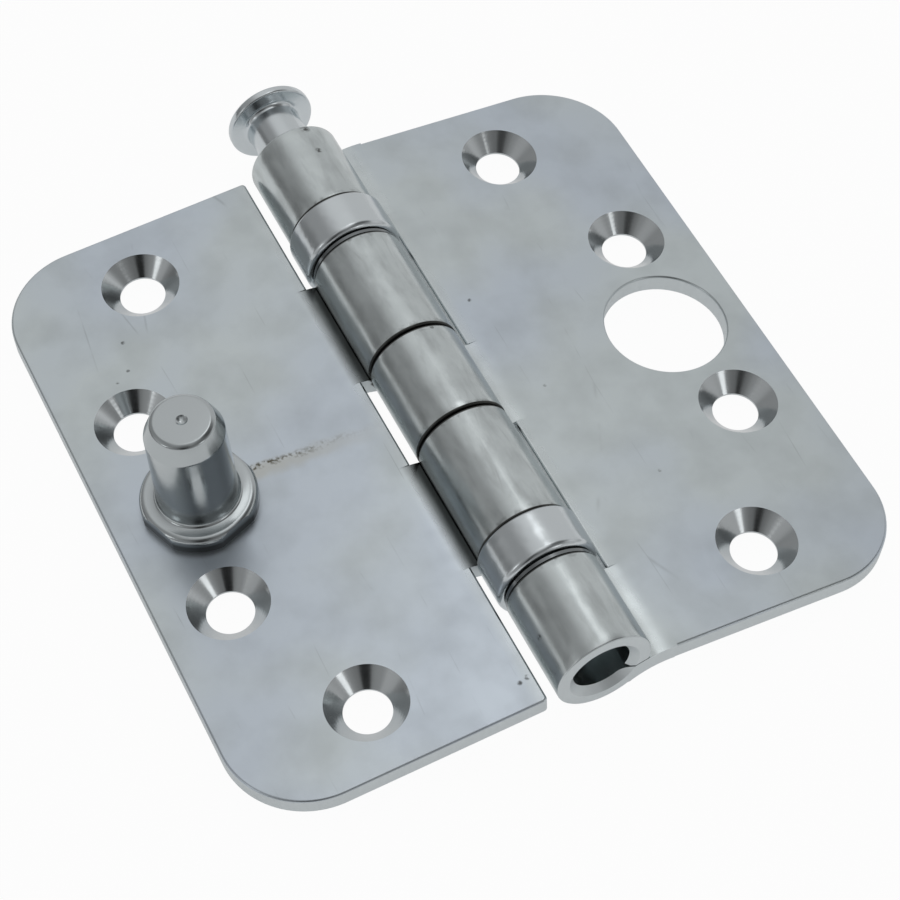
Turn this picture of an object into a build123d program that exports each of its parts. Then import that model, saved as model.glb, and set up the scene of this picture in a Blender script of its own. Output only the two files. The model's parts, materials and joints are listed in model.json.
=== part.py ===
from build123d import *
import math
import os

# A ball bearing door hinge with a loose pin and a security stud, lying open with its
# countersunk faces up. It is drawn about the pin: the pin's axis is Y, the pin's head is at
# +Y, the frame leaf reaches out along +X, the door leaf along -X, and +Z is up.
# Lengths are in millimetres and angles in degrees.

# Leaves
leaf_length = 89.0  # along the pin
leaf_reach = 44.5  # from the pin's axis to the outer edge
sheet = 2.5  # thickness of the steel sheet
corner_radius = 11.0  # outer corners
inner_corner = 0.6  # free corners beside the barrel
leaf_clearance = 0.7  # between the inner edge and the bearings beside it
axis_rise = 0.5  # pin's axis above the countersunk face
leaf_droop = 3.93  # each leaf's fall from level, as the hinge lies open
edge_roll = 0.35  # rounding that the punch leaves on the upper edges

# Screw holes, in pairs about mid-length
screw_hole_d = 6.0
countersink_d = 10.3
countersink_depth = 2.25
end_margin = 9.5  # from the leaf's ends to the end pair
end_pair_inset = 18.0  # from the outer edge to the end pair
middle_pair_inset = 9.0  # from the outer edge to the middle pair
middle_pair_spacing = 30.0

# Knuckles, rolled from tabs of the leaves
end_knuckle = 13.3  # length of the frame leaf's two end knuckles
middle_knuckle = 13.7  # length of the frame leaf's middle knuckle
running_gap = 0.3  # end play between two knuckles
swage_radius = 10.0  # bend at mid sheet that lowers a tab below its leaf
curl_gap = 0.15  # between a rolled end and the tab that it closes on
curl_nose = 0.4  # blunt width of the rolled end
bore_chamfer = 0.9  # at the barrel's two open ends

# Loose pin
pin_d = 7.4
bore_clearance = 0.05  # on the radius, between the pin and a knuckle
pin_setback = 1.0  # the seated pin stops this short of the barrel's end
pin_point = 1.2  # chamfer at the pin's foot
pin_lift = 7.4  # how far the pin is drawn out
head_d = 12.0
head_rim = 1.15
head_crown = 0.8  # rise of the head's middle above its rim
head_fillet = 0.7  # where the head meets the pin

# Thrust bearings
shell_standout = 0.5  # beyond the barrel, on the radius
shell_wall = 0.6
shell_height = 6.25
shell_shoulder = 0.5  # rounding at the closed end
shell_lip = 0.85  # rounding at the open end
ring_clearance = 0.3  # on the radius, between rings that turn on each other
race_thickness = 1.9
rim_inset = 0.15  # visible rim of the lower race, inside the barrel's outline
rim_thickness = 0.45
lip_gap = 0.25  # between the shell's lip and that rim
seat_gap = 0.1  # between a bearing and the knuckles beside it
ball_d = 2.0
ball_count = 8
ball_clearance = 0.06
ball_to_face = 0.85  # from a ball's centre to the faces of its races

# Security stud and the hole that it enters
stud_inset = 11.7  # from the leaf's outer edge
stud_height = 17.7
stud_d = 10.3  # at the collar
stud_shoulder_d = 9.9  # where the tapered end starts
stud_lead_in = 2.6  # length of the tapered end
stud_tip_d = 8.0
stud_face_d = 7.0
stud_edge = 0.3  # height of the broken edge round the end face
stud_centre_d = 1.5  # turning centre in the end face
stud_centre_depth = 0.65
collar_d = 14.8
collar_flat = 0.45  # depth of each of the four flats
collar_turn = 20.0  # of the flats, seen from above
collar_rim = 1.3
collar_height = 2.3
collar_round = 0.9  # width of the rounding round the collar's upper face
collar_fillet = 0.6  # where the shaft meets the collar
rivet_d = 6.8  # tail that holds the stud in the leaf
rivet_flare = 0.9
rivet_clearance = 0.03
hole_clearance = 0.65  # round the collar, when the hinge is shut
hole_lead = 0.4  # the hole is this much further out than the stud

# Sizes that follow from those above
half_length = leaf_length / 2
pin_r = pin_d / 2
bore_r = pin_r + bore_clearance
barrel_r = bore_r + sheet
shell_r = barrel_r + shell_standout
inner_edge = shell_r + leaf_clearance
leaf_top = -axis_rise
leaf_bottom = leaf_top - sheet
leaf_middle = leaf_top - sheet / 2
stud_x = leaf_reach - stud_inset
stud_hole_r = collar_d / 2 + hole_clearance

# A tab leaves its leaf on a bend about this centre, and meets the barrel at this angle.
swage_span = swage_radius + bore_r + sheet / 2
swage_drop = swage_radius - leaf_middle
swage = (math.sqrt(swage_span**2 - swage_drop**2), -swage_drop)
meet = math.degrees(math.atan2(swage[1], swage[0]))

# Places along the pin
bearing_space = 2 * seat_gap + rim_thickness + lip_gap + shell_height
end_start = half_length - end_knuckle
bearing_start = end_start - bearing_space
middle_end = middle_knuckle / 2
door_start = middle_end + running_gap
frame_knuckles = [(end_start, half_length), (-middle_end, middle_end), (-half_length, -end_start)]
door_knuckles = [(door_start, bearing_start), (-bearing_start, -door_start)]

# The hinge rests on the lowest points of its bearings, about the middle of its outline.
placing = Pos(0, -(pin_lift + head_rim + head_crown) / 2, shell_r)
frame_side = Rot(0, leaf_droop, 0)
door_side = Rot(0, -leaf_droop, 0)


def polar(centre, radius, angle):
    """The point of a circle at an angle."""
    turn = math.radians(angle)
    return (centre[0] + radius * math.cos(turn), centre[1] + radius * math.sin(turn))


def arc(centre, radius, start, end):
    """A circular edge from one angle to another."""
    ends = [polar(centre, radius, angle) for angle in (start, (start + end) / 2, end)]
    return ThreePointArc(*ends)


def angle_on_curl_end(radius, end_bend):
    """Where the rolled end, which lies along its own tab, crosses a circle about the pin."""
    along = (radius**2 - end_bend**2 + swage_span**2) / (2 * swage_span)
    return meet + math.degrees(math.acos(along / radius))


def angle_from_swage(radius, angle):
    """The angle at which a point given about the pin is seen from the bend's centre."""
    x, z = polar((0, 0), radius, angle)
    return math.degrees(math.atan2(z - swage[1], x - swage[0]))


def knuckle_section():
    """A tab's section: it dips below the leaf, goes round the pin and closes on itself."""
    axis = (0, 0)
    back = meet + 180
    end_bend = swage_radius + sheet / 2 + curl_gap
    nose_r = bore_r + curl_nose
    outer_end = angle_on_curl_end(barrel_r, end_bend)
    nose = angle_on_curl_end(nose_r, end_bend)
    end_start_angle = angle_from_swage(barrel_r, outer_end)
    end_stop_angle = angle_from_swage(nose_r, nose)
    outline = [
        Line((swage[0], leaf_top), (swage[0], leaf_bottom)),
        arc(swage, swage_radius - sheet / 2, 90, back),
        arc(axis, barrel_r, meet, outer_end - 360),
        arc(swage, end_bend, end_start_angle, end_stop_angle),
        Line(polar(axis, nose_r, nose), polar(axis, bore_r, nose)),
        arc(axis, bore_r, nose - 360, meet),
        arc(swage, swage_radius + sheet / 2, back, 90),
    ]
    return make_face(outline)


def knuckle(start, end):
    """A rolled tab between two places along the pin."""
    return Pos(0, end, 0) * extrude(Plane.XZ * knuckle_section(), end - start)


def screw_places():
    """Centres of a leaf's four screw holes."""
    end_y = half_length - end_margin
    middle_y = middle_pair_spacing / 2
    end_x = leaf_reach - end_pair_inset
    middle_x = leaf_reach - middle_pair_inset
    return [(end_x, end_y), (middle_x, middle_y), (middle_x, -middle_y), (end_x, -end_y)]


def screw_hole(x, y):
    """A through hole with its countersink in the upper face."""
    shank = Pos(x, y, leaf_middle) * Cylinder(screw_hole_d / 2, sheet)
    sink = Cone(screw_hole_d / 2, countersink_d / 2, countersink_depth)
    return shank + Pos(x, y, leaf_top - countersink_depth / 2) * sink


def leaf(knuckles):
    """A leaf that reaches out along +X, with its knuckles rolled and its screw holes made."""
    width = leaf_reach - inner_edge
    outline = Pos(inner_edge + width / 2, 0) * Rectangle(width, leaf_length)
    outline = fillet(outline.vertices().group_by(Axis.X)[-1], corner_radius)
    outline = fillet(outline.vertices().group_by(Axis.X)[0], inner_corner)
    plate = extrude(Pos(0, 0, leaf_bottom) * outline, sheet)
    plate = fillet(plate.faces().sort_by(Axis.Z)[-1].edges(), edge_roll)
    root = swage[0] - inner_edge
    for start, end in knuckles:
        notch = Box(root, end - start, sheet)
        plate -= Pos(inner_edge + root / 2, (start + end) / 2, leaf_middle) * notch
        plate += knuckle(start, end)
    for x, y in screw_places():
        plate -= screw_hole(x, y)
    return plate


def barrel_mouth(side):
    """Chamfer of the bore at one end of the barrel: +1 is by the pin's head, -1 at its foot."""
    cone = Rot(-90 * side, 0, 0) * Cone(bore_r, bore_r + bore_chamfer, bore_chamfer)
    return Pos(0, side * (half_length - bore_chamfer / 2), 0) * cone


def punched_hole(radius):
    """A plain hole through the sheet, its upper edge rounded by the punch."""
    mouth = radius + edge_roll
    sides = Polyline((mouth, 0), (0, 0), (0, -sheet), (radius, -sheet), (radius, -edge_roll))
    roll = arc((mouth, -edge_roll), edge_roll, 180, 90)
    return revolve(Plane.XZ * make_face([sides, roll]), Axis.Z)


def frame_leaf():
    """The leaf with three knuckles and the plain hole that the stud enters."""
    plate = leaf(frame_knuckles)
    plate -= barrel_mouth(1)
    plate -= barrel_mouth(-1)
    plate -= Pos(stud_x + hole_lead, 0, leaf_top) * punched_hole(stud_hole_r)
    return frame_side * plate


def rivet(clearance):
    """The stud's tail, flush with the back of the leaf, or with a clearance the hole for it."""
    radius = rivet_d / 2 + clearance
    shank = Pos(0, 0, -sheet / 2) * Cylinder(radius, sheet)
    flare = Cone(radius + rivet_flare, radius, rivet_flare)
    return shank + Pos(0, 0, rivet_flare / 2 - sheet) * flare


def door_leaf():
    """The leaf with two knuckles and the hole for the stud's tail."""
    plate = leaf(door_knuckles)
    plate -= Pos(stud_x, 0, leaf_top) * rivet(rivet_clearance)
    return door_side * mirror(plate, Plane.YZ)


def stud_collar():
    """The stud's foot: a disc with a rounded upper edge and four flats."""
    outer = collar_d / 2
    crest = outer - collar_round
    rise = collar_height - collar_rim
    share = math.sin(math.radians(45))
    rounding = ThreePointArc(
        (outer, collar_rim),
        (crest + collar_round * share, collar_rim + rise * share),
        (crest, collar_height),
    )
    sides = Polyline((crest, collar_height), (0, collar_height), (0, 0), (outer, 0), (outer, collar_rim))
    disc = revolve(Plane.XZ * make_face([rounding, sides]), Axis.Z)
    across = collar_d - 2 * collar_flat
    block = Pos(0, 0, collar_height / 2) * Box(across, across, collar_height)
    return disc & Rot(0, 0, collar_turn) * block


def stud_shaft():
    """The stud's body, with a fillet at the collar and a tapered end."""
    radius = stud_d / 2
    root = radius + collar_fillet
    sides = Polyline(
        (radius, collar_height + collar_fillet),
        (stud_shoulder_d / 2, stud_height - stud_lead_in),
        (stud_tip_d / 2, stud_height - stud_edge),
        (stud_face_d / 2, stud_height),
        (0, stud_height),
        (0, 0),
        (root, 0),
        (root, collar_height),
    )
    foot = arc((root, collar_height + collar_fillet), collar_fillet, 270, 180)
    shaft = revolve(Plane.XZ * make_face([sides, foot]), Axis.Z)
    centre = Cone(0, stud_centre_d / 2, stud_centre_depth)
    return shaft - Pos(0, 0, stud_height - stud_centre_depth / 2) * centre


def security_stud():
    """A turned stud, riveted into the door leaf."""
    stud = stud_collar() + stud_shaft() + rivet(0)
    return door_side * Pos(-stud_x, 0, leaf_top) * stud


def hinge_pin():
    """A pin with a mushroom head, drawn part of the way out of the barrel."""
    head_r = head_d / 2
    foot = pin_setback - half_length
    rim_top = half_length + head_rim
    crown_r = (head_r**2 + head_crown**2) / (2 * head_crown)
    crown_centre = (0, rim_top + head_crown - crown_r)
    crown_side = 90 - math.degrees(math.asin(head_r / crown_r))
    neck = (pin_r + head_fillet, half_length - head_fillet)
    outline = [
        Polyline((0, rim_top + head_crown), (0, foot), (pin_r - pin_point, foot), (pin_r, foot + pin_point)),
        Line((pin_r, foot + pin_point), (pin_r, neck[1])),
        arc(neck, head_fillet, 180, 90),
        Polyline((neck[0], half_length), (head_r, half_length), (head_r, rim_top)),
        arc(crown_centre, crown_r, crown_side, 90),
    ]
    return Pos(0, pin_lift, 0) * revolve(make_face(outline), Axis.Y)


def bearing_shell():
    """A drawn cup, closed end up, whose open end turns in to a lip."""
    inner = shell_r - shell_wall
    throat = pin_r + 2 * ring_clearance
    lip = shell_r - shell_lip
    bottom = seat_gap + rim_thickness + lip_gap
    top = bottom + shell_height
    lip_centre = (lip, bottom + shell_lip)
    shoulder_r = shell_r - shell_shoulder
    outline = [
        arc((shoulder_r, top - shell_shoulder), shell_shoulder, 90, 0),
        Line((shell_r, top - shell_shoulder), (shell_r, bottom + shell_lip)),
        arc(lip_centre, shell_lip, 0, -90),
        Polyline((lip, bottom), (lip, bottom + shell_wall), (inner, bottom + shell_lip), (inner, top - shell_wall)),
        Polyline((inner, top - shell_wall), (throat, top - shell_wall), (throat, top), (shoulder_r, top)),
    ]
    return revolve(make_face(outline), Axis.Y)


def race(back, face, outer):
    """A ring with a raceway of 90 degrees in its face, which the balls run in."""
    inner = pin_r + ring_clearance
    side = math.copysign(1, face - back)
    depth = (ball_d / 2 + ball_clearance) * math.sqrt(2) - ball_to_face
    outline = Polyline(
        (inner, back),
        (outer, back),
        (outer, face),
        (ball_circle_r + depth, face),
        (ball_circle_r, face - side * depth),
        (ball_circle_r - depth, face),
        (inner, face),
        (inner, back),
    )
    return revolve(make_face(outline), Axis.Y)


def race_rim():
    """The flange of the lower race, which shows below the shell's lip."""
    ring = Cylinder(barrel_r - rim_inset, rim_thickness) - Cylinder(pin_r + ring_clearance, rim_thickness)
    return Pos(0, seat_gap + rim_thickness / 2, 0) * Rot(90, 0, 0) * ring


# Inside a bearing: heights above the knuckle that it stands on, and radii
upper_race_back = bearing_space - 2 * seat_gap - shell_wall
upper_race_face = upper_race_back - race_thickness
ball_y = upper_race_face - ball_to_face
lower_race_face = ball_y - ball_to_face
upper_race_r = shell_r - shell_wall - ring_clearance
lower_race_r = shell_r - shell_lip - ring_clearance
ball_circle_r = (pin_r + ring_clearance + upper_race_r) / 2


def bearing():
    """The pieces of one bearing, standing at Y = 0 on the end of a knuckle."""
    pieces = {
        "shell": bearing_shell(),
        "upper_race": race(upper_race_back, upper_race_face, upper_race_r),
        "lower_race": race(seat_gap, lower_race_face, lower_race_r) + race_rim(),
    }
    for i in range(ball_count):
        x, z = polar((0, 0), ball_circle_r, 360 * i / ball_count)
        pieces["ball_%d" % (i + 1)] = Pos(x, ball_y, z) * Sphere(ball_d / 2)
    return pieces


parts = {
    "frame_leaf": frame_leaf(),
    "door_leaf": door_leaf(),
    "security_stud": security_stud(),
    "hinge_pin": hinge_pin(),
}
for place, foot in (("head_bearing", bearing_start), ("foot_bearing", -end_start)):
    for piece, shape in bearing().items():
        parts[place + "_" + piece] = Pos(0, foot, 0) * shape

os.makedirs("parts", exist_ok=True)
for name, shape in parts.items():
    export_step(placing * shape, "parts/" + name + ".step")
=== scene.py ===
import json
import math
from types import SimpleNamespace

import bmesh
import bpy
from bpy.props import FloatProperty, FloatVectorProperty, PointerProperty
from mathutils import Matrix, Vector


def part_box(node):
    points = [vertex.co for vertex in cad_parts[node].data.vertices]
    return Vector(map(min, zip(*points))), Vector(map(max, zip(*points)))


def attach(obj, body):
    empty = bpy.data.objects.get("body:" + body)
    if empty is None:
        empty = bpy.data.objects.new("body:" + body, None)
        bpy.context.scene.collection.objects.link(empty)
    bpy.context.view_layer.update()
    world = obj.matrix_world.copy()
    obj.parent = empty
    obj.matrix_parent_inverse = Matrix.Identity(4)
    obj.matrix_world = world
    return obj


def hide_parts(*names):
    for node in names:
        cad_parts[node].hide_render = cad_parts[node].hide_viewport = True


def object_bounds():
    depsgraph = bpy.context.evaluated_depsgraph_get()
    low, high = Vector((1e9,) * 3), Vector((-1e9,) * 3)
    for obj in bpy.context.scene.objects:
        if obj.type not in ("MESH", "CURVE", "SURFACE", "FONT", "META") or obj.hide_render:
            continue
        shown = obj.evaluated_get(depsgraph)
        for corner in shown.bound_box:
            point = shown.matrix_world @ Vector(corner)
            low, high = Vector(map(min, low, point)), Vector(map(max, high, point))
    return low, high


bl_info = {
    "name": "Ball Bearing Hinge",
    "version": (1, 0, 0),
    "blender": (4, 5, 0),
    "location": "View3D > Sidebar > Hinge",
    "description": "A door hinge with thrust bearings, a loose pin and a security stud",
    "category": "Object",
}

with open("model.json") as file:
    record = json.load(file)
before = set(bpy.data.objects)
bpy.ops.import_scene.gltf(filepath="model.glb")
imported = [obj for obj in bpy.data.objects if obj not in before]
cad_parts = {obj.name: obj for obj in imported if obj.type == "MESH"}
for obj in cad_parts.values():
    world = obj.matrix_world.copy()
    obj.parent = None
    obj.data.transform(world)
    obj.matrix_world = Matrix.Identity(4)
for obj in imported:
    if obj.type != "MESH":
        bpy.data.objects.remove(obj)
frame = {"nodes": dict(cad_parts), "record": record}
cad_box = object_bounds()

MM = 0.001
SMOOTH_ANGLE = math.radians(32)


# Places that the frame gives

def mount(name):
    """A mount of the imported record."""
    return next(m for m in frame["record"]["mounts"] if m["name"] == name)


leaf_low, leaf_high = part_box("frame_leaf")
pin_low, pin_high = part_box("hinge_pin")
AXIS = Vector((0, (leaf_low.y + leaf_high.y) / 2, (pin_low.z + pin_high.z) / 2))
DROOP = math.asin(-mount("frame_seat")["axis"][0])
BARREL = Matrix.Translation(AXIS)
FRAME_SIDE = BARREL @ Matrix.Rotation(DROOP, 4, "Y")
DOOR_SIDE = BARREL @ Matrix.Rotation(-DROOP, 4, "Y") @ Matrix.Diagonal((-1, 1, 1, 1))
ALONG_PIN = Matrix.Rotation(math.radians(-90), 4, "X")


# Sizes and colours

def length(name, millimetres, description):
    """A size of the hinge, written in millimetres."""
    return FloatProperty(
        name=name, description=description, default=millimetres * MM,
        unit="LENGTH", subtype="DISTANCE", precision=5,
    )


def hex_colour(text):
    """An sRGB hex value as linear red, green, blue and alpha."""
    channels = [int(text[i:i + 2], 16) / 255 for i in (1, 3, 5)]
    return [c / 12.92 if c <= 0.04045 else ((c + 0.055) / 1.055) ** 2.4 for c in channels] + [1.0]


def colour(name, text, description):
    """A colour of the hinge, written as an sRGB hex value."""
    return FloatVectorProperty(
        name=name, description=description, default=hex_colour(text), size=4, subtype="COLOR", min=0, max=1
    )


class HingeSizes(bpy.types.PropertyGroup):
    """Sizes of the hinge's pieces"""

    leaf_length: length("Leaf length", (leaf_high.y - leaf_low.y) / MM, "Length of a leaf along the pin")
    leaf_reach: length("Leaf reach", 44.5, "From the pin's axis to a leaf's outer edge")
    sheet: length("Sheet", 2.5, "Thickness of the steel sheet")
    corner_radius: length("Corner radius", 11.0, "Radius of a leaf's outer corners")
    inner_corner: length("Inner corner", 0.6, "Radius of a leaf's free corners beside the barrel")
    inner_edge: length("Inner edge", 7.45, "From the pin's axis to a leaf's inner edge")
    axis_rise: length("Axis rise", 0.5, "Height of the pin's axis above the countersunk faces")
    edge_roll: length("Edge roll", 0.35, "Rounding that the punch leaves on an upper edge")
    edge_burr: length("Edge break", 0.12, "Rounding of a lower edge")

    screw_hole: length("Screw hole", 6.0, "Diameter of a screw hole")
    countersink: length("Countersink", 10.3, "Diameter of a countersink's rim")
    countersink_depth: length("Countersink depth", 2.25, "Depth of a countersink")
    end_margin: length("End margin", 9.5, "From a leaf's end to its end pair of holes")
    end_pair_inset: length("End pair inset", 18.0, "From the outer edge to the end pair of holes")
    middle_pair_inset: length("Middle pair inset", 9.0, "From the outer edge to the middle pair of holes")
    middle_pair_spacing: length("Middle pair spacing", 30.0, "Between the holes of the middle pair")

    end_knuckle: length("End knuckle", 13.3, "Length of an end knuckle")
    middle_knuckle: length("Middle knuckle", 13.7, "Length of the middle knuckle")
    running_gap: length("Running gap", 0.3, "End play between two knuckles")
    bearing_space: length("Bearing space", 7.15, "Room for a bearing between two knuckles")
    swage_radius: length("Swage radius", 10.0, "Bend at mid sheet that lowers a tab below its leaf")
    curl_gap: length("Curl gap", 0.15, "Between a rolled end and the tab that it closes on")
    curl_nose: length("Curl nose", 0.4, "Blunt width of a rolled end")
    bore_chamfer: length("Bore chamfer", 0.9, "Chamfer at the barrel's open ends")
    knuckle_edge: length("Knuckle edge", 0.25, "Rounding of a knuckle's ends")

    pin: length("Pin", 7.4, "Diameter of the pin")
    bore_clearance: length("Bore clearance", 0.05, "Between the pin and a knuckle, on the radius")
    pin_setback: length("Pin setback", 1.0, "How far the seated pin stops short of the barrel's end")
    pin_point: length("Pin point", 1.2, "Chamfer at the pin's foot")
    pin_lift: length("Pin lift", 7.4, "How far the pin is drawn out")
    head: length("Head", 12.0, "Diameter of the pin's head")
    head_rim: length("Head rim", 1.15, "Thickness of the head's rim")
    head_crown: length("Head crown", 0.8, "Rise of the head's middle above its rim")
    head_edge: length("Head edge", 0.3, "Rounding of the head's rim")
    head_fillet: length("Head fillet", 0.7, "Fillet where the head meets the pin")

    shell_standout: length("Shell standout", 0.5, "How far a bearing shell stands out from the barrel")
    shell_wall: length("Shell wall", 0.6, "Thickness of a bearing shell")
    shell_height: length("Shell height", 6.25, "Height of a bearing shell")
    shell_shoulder: length("Shell shoulder", 0.5, "Rounding at a shell's closed end")
    shell_lip: length("Shell lip", 0.85, "Rounding at a shell's open end")
    seat_gap: length("Seat gap", 0.1, "Between a bearing and the knuckles beside it")
    ring_clearance: length("Ring clearance", 0.3, "Between rings that turn on each other")

    stud_inset: length("Stud inset", 11.7, "From the leaf's outer edge to the stud")
    stud_height: length("Stud height", 17.7, "Height of the stud above its leaf")
    stud: length("Stud", 10.3, "Diameter of the stud at its collar")
    stud_shoulder: length("Stud shoulder", 9.9, "Diameter where the stud's tapered end starts")
    stud_lead_in: length("Stud lead-in", 2.6, "Length of the stud's tapered end")
    stud_tip: length("Stud tip", 8.0, "Diameter at the end of the taper")
    stud_face: length("Stud face", 7.0, "Diameter of the stud's end face")
    stud_edge: length("Stud edge", 0.3, "Height of the broken edge round the end face")
    stud_centre: length("Stud centre", 1.5, "Diameter of the turning centre in the end face")
    stud_centre_depth: length("Stud centre depth", 0.65, "Depth of the turning centre")
    collar: length("Collar", 14.8, "Diameter of the stud's collar")
    collar_flat: length("Collar flat", 0.45, "Depth of each of the collar's four flats")
    collar_rim: length("Collar rim", 1.3, "Height of the collar's side")
    collar_height: length("Collar height", 2.3, "Height of the collar")
    collar_round: length("Collar rounding", 0.9, "Width of the rounding round the collar's upper face")
    collar_fillet: length("Collar fillet", 0.6, "Fillet where the shaft meets the collar")
    rivet: length("Rivet", 6.8, "Diameter of the stud's riveted tail")
    rivet_flare: length("Rivet flare", 0.9, "Spread of the riveted tail at the back")
    rivet_clearance: length("Rivet clearance", 0.03, "Between the tail and its hole")
    hole_clearance: length("Hole clearance", 0.65, "Round the collar when the hinge is shut")
    hole_lead: length("Hole lead", 0.4, "How much further out the stud's hole is than the stud")


class HingeColours(bpy.types.PropertyGroup):
    """Colours of the hinge's metals"""

    zinc_cool: colour("Zinc, cool", "#C7D0D9", "Bluish zinc plate of the leaves")
    zinc_warm: colour("Zinc, warm", "#CCD4D6", "Warmer patches of the zinc plate")
    rolled: colour("Rolled zinc", "#D1D8D9", "Zinc plate burnished on the knuckles")
    sheared: colour("Sheared edge", "#D8DEE0", "Plated edges that the punch sheared")
    turned: colour("Turned steel", "#C8CDCF", "Plated countersinks, as cut")
    # Darker than the turned steel of the countersinks: painted shade for the dark surroundings that the
    # stud's body mirrors
    stud: colour("Turned stud", "#BDC3C5", "Plated stud, as turned")
    drawn: colour("Drawn shell", "#D4DADD", "Zinc plate of the drawn bearing shells")
    ground: colour("Ground steel", "#84888A", "Ground steel of the races and balls")
    rust: colour("Rust", "#66604C", "Rusted line in the zinc")
    stain: colour("Stain", "#B3AA8E", "Pale brown beside the rust")
    # Also painted shade: the same dark colour is laid in the barrel's joints, in the groove beside the door
    # leaf's knuckles and round the stud's collar foot
    grime_and_shade: colour("Grime", "#3B3B38", "Dark specks and scratches")


def millimetres():
    """Every size of the hinge in millimetres, with those that follow from them."""
    group = bpy.context.scene.hinge_sizes
    s = SimpleNamespace(**{name: getattr(group, name) / MM for name in HingeSizes.__annotations__})
    s.half_length = s.leaf_length / 2
    s.leaf_top = -s.axis_rise
    s.leaf_bottom = s.leaf_top - s.sheet
    s.leaf_middle = s.leaf_top - s.sheet / 2
    s.bore_r = s.pin / 2 + s.bore_clearance
    s.barrel_r = s.bore_r + s.sheet
    s.shell_r = s.barrel_r + s.shell_standout
    s.stud_x = s.leaf_reach - s.stud_inset
    s.stud_hole_r = s.collar / 2 + s.hole_clearance
    s.end_start = s.half_length - s.end_knuckle
    s.bearing_start = s.end_start - s.bearing_space
    s.middle_end = s.middle_knuckle / 2
    s.door_start = s.middle_end + s.running_gap
    s.swage_span = s.swage_radius + s.bore_r + s.sheet / 2
    s.swage_drop = s.swage_radius - s.leaf_middle
    s.swage_x = math.sqrt(s.swage_span**2 - s.swage_drop**2)
    s.meet = math.atan2(-s.swage_drop, s.swage_x)
    end_y = s.half_length - s.end_margin
    middle_y = s.middle_pair_spacing / 2
    end_x = s.leaf_reach - s.end_pair_inset
    middle_x = s.leaf_reach - s.middle_pair_inset
    s.screws = [(end_x, end_y), (middle_x, middle_y), (middle_x, -middle_y), (end_x, -end_y)]
    return s


# Modelling

# Millimetres within which two places count as the same
NEAR = 1e-3

# Steps round each kind of turned or rolled shape
HOLE_STEPS = 96
RIVET_STEPS = 64
ROUND_STEPS = 128
SHELL_STEPS = 160
SWAGE_STEPS = 12
ROLL_STEPS = 96
ROLLED_END_STEPS = 6

# Places of the cut surfaces among a leaf's materials
TURNED = 1
SHEARED = 2

# Degrees that the collar's flats are turned from the leaf's sides
COLLAR_TURN = 20


def close_and_face_out(bm):
    """Caps what is open, merges doubles and points the faces outwards."""
    bmesh.ops.remove_doubles(bm, verts=bm.verts, dist=1e-4)
    open_edges = [e for e in bm.edges if e.is_boundary]
    if open_edges:
        bmesh.ops.holes_fill(bm, edges=open_edges, sides=0)
    bmesh.ops.recalc_face_normals(bm, faces=bm.faces)


def lathe(points, steps):
    """A closed solid turned about Z from a profile of radii and heights."""
    bm = bmesh.new()
    verts = [bm.verts.new((radius, 0, height)) for radius, height in points]
    edges = [bm.edges.new(pair) for pair in zip(verts, verts[1:])]
    bmesh.ops.spin(
        bm, geom=verts + edges, cent=(0, 0, 0), axis=(0, 0, 1), dvec=(0, 0, 0),
        angle=math.tau, steps=steps, use_merge=True,
    )
    close_and_face_out(bm)
    return bm


def round_ring(bm, radius, height, size, segments):
    """Rounds the turned edge at a radius and height."""
    ring = []
    for edge in bm.edges:
        if all(abs(v.co.xy.length - radius) < NEAR and abs(v.co.z - height) < NEAR for v in edge.verts):
            ring.append(edge)
    bmesh.ops.bevel(
        bm, geom=ring, offset=size, segments=segments, profile=0.5, affect="EDGES", material=-1,
        clamp_overlap=True,
    )


def move(bm, matrix):
    """Moves a whole bmesh and gives it back."""
    bmesh.ops.transform(bm, matrix=matrix, verts=bm.verts)
    return bm


def solid(name, *meshes):
    """A working object made of one or more bmeshes, in millimetres."""
    mesh = bpy.data.meshes.new(name)
    whole = bmesh.new()
    for bm in meshes:
        bm.to_mesh(mesh)
        bm.free()
        whole.from_mesh(mesh)
    whole.to_mesh(mesh)
    whole.free()
    obj = bpy.data.objects.new(name, mesh)
    bpy.context.scene.collection.objects.link(obj)
    return obj


def apply_modifiers(obj):
    """Turns an object's modifiers into its mesh."""
    bpy.context.view_layer.update()
    evaluated = obj.evaluated_get(bpy.context.evaluated_depsgraph_get())
    mesh = bpy.data.meshes.new_from_object(evaluated)
    old = obj.data
    obj.modifiers.clear()
    obj.data = mesh
    bpy.data.meshes.remove(old)


def combine(obj, other, operation):
    """Joins another working object to this one, or cuts it away, and removes it."""
    modifier = obj.modifiers.new(operation.title(), "BOOLEAN")
    modifier.operation = operation
    modifier.solver = "EXACT"
    modifier.object = other
    apply_modifiers(obj)
    mesh = other.data
    bpy.data.objects.remove(other)
    bpy.data.meshes.remove(mesh)


def finish(obj, place, node, body, materials):
    """Puts a piece drawn in millimetres in its place, and lets it stand for its node."""
    mesh = obj.data
    mesh.transform(place @ Matrix.Scale(MM, 4))
    if place.determinant() < 0:
        mesh.flip_normals()
    for material in materials:
        mesh.materials.append(material)
    mesh.shade_smooth()
    mesh.set_sharp_from_angle(angle=SMOOTH_ANGLE)
    weighted = obj.modifiers.new("Weighted normals", "WEIGHTED_NORMAL")
    weighted.keep_sharp = True
    weighted.weight = 100
    apply_modifiers(obj)
    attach(obj, body)
    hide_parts(node)
    return obj


# Leaves

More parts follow.
